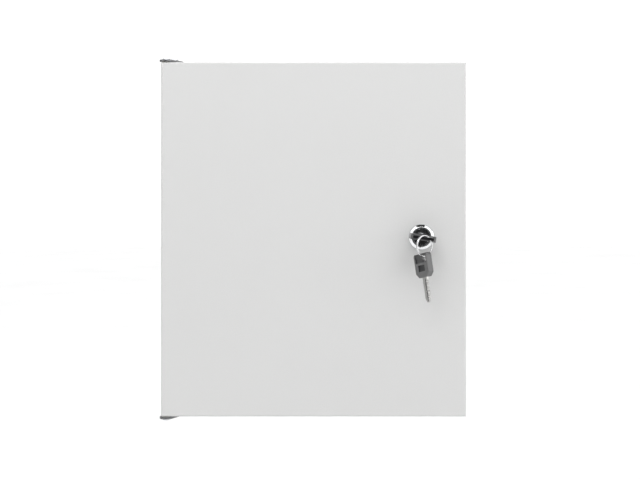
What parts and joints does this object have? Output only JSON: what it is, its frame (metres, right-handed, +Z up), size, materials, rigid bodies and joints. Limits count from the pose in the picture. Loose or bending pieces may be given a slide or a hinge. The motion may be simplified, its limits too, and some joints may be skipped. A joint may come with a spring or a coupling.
{
  "type": "wall enclosure",
  "caption": "Shallow steel wall enclosure with a side-hinged pan door, a key-operated cam lock with its keys, an inner mounting plate and a cable entry plate.",
  "frame": {"origin": "centre of the four wall holes, on the back face that lies on the wall", "axes": "+X to the right seen from the front, +Y into the wall, +Z up; the door faces -Y"},
  "size_m": [0.302, 0.1362, 0.359],
  "materials": {
    "paint": "fine-texture powder coat",
    "zinc": "zinc plated",
    "galvanised": "galvanised sheet",
    "chrome": "polished chrome plate",
    "key_steel": "nickel plated",
    "brass": "plain",
    "seal": "foamed seal, matt",
    "rubber": "moulded rubber",
    "plastic": "moulded, satin",
    "nylon": "natural nylon"
  },
  "bodies": {
    "enclosure": {"body_shell": "paint", "hinge_plate_top": "zinc", "hinge_plate_bottom": "zinc", "hinge_rivet_top": "zinc", "hinge_rivet_bottom": "zinc", "hinge_screws": "zinc", "hinge_nuts": "zinc", "mounting_plate": "galvanised", "plate_studs": "zinc", "plate_spacers": "zinc", "plate_washers": "zinc", "plate_nuts": "zinc", "earth_stud": "zinc", "earth_washer": "zinc", "earth_nut": "zinc", "gland_plate": "galvanised", "gland_gasket": "seal", "gland_screws": "zinc", "gland_nuts": "zinc", "cable_grommet_left": "rubber", "cable_grommet_middle": "rubber", "cable_grommet_right": "rubber"},
    "door": {"door_panel": "paint", "door_gasket": "seal", "hinge_washer_top": "nylon", "hinge_washer_bottom": "nylon", "lock_housing": "chrome", "lock_washer": "zinc", "lock_nut": "zinc", "door_earth_stud": "zinc", "door_earth_washer": "zinc", "door_earth_nut": "zinc"},
    "plug": {"lock_plug": "chrome", "lock_wafers": "brass", "stop_washer": "zinc", "lock_cam": "zinc", "cam_washer": "zinc", "cam_screw": "zinc"},
    "key": {"key_blade": "key_steel", "key_hood": "plastic"},
    "ring": {"key_ring": "chrome"},
    "spare_key": {"spare_key_blade": "key_steel", "spare_key_hood": "plastic"}
  },
  "joints": [
    {"name": "door_swing", "type": "hinge", "parent": "enclosure", "child": "door", "pos_m": [-0.1455, -0.0935, 0], "axis": [0, 0, -1], "range_deg": [0, 180]},
    {"name": "lock_turn", "type": "hinge", "parent": "door", "child": "plug", "pos_m": [0.10575, -0.1, 0.0025], "axis": [0, 1, 0], "range_deg": [-9, 81]},
    {"name": "key_slide", "type": "slide", "parent": "plug", "child": "key", "axis": [0, -1, 0], "range_m": [0, 0.03]},
    {"name": "ring_swing", "type": "hinge", "parent": "key", "child": "ring", "pos_m": [0.10654, -0.1251, 0.00237], "axis": [0.9877, 0, -0.1564], "range_deg": [-18, 2]},
    {"name": "spare_key_swing", "type": "hinge", "parent": "ring", "child": "spare_key", "pos_m": [0.10654, -0.1251, -0.01503], "axis": [0.9041, 0.4226, 0.0632], "range_deg": [-16, 20]}
  ]
}
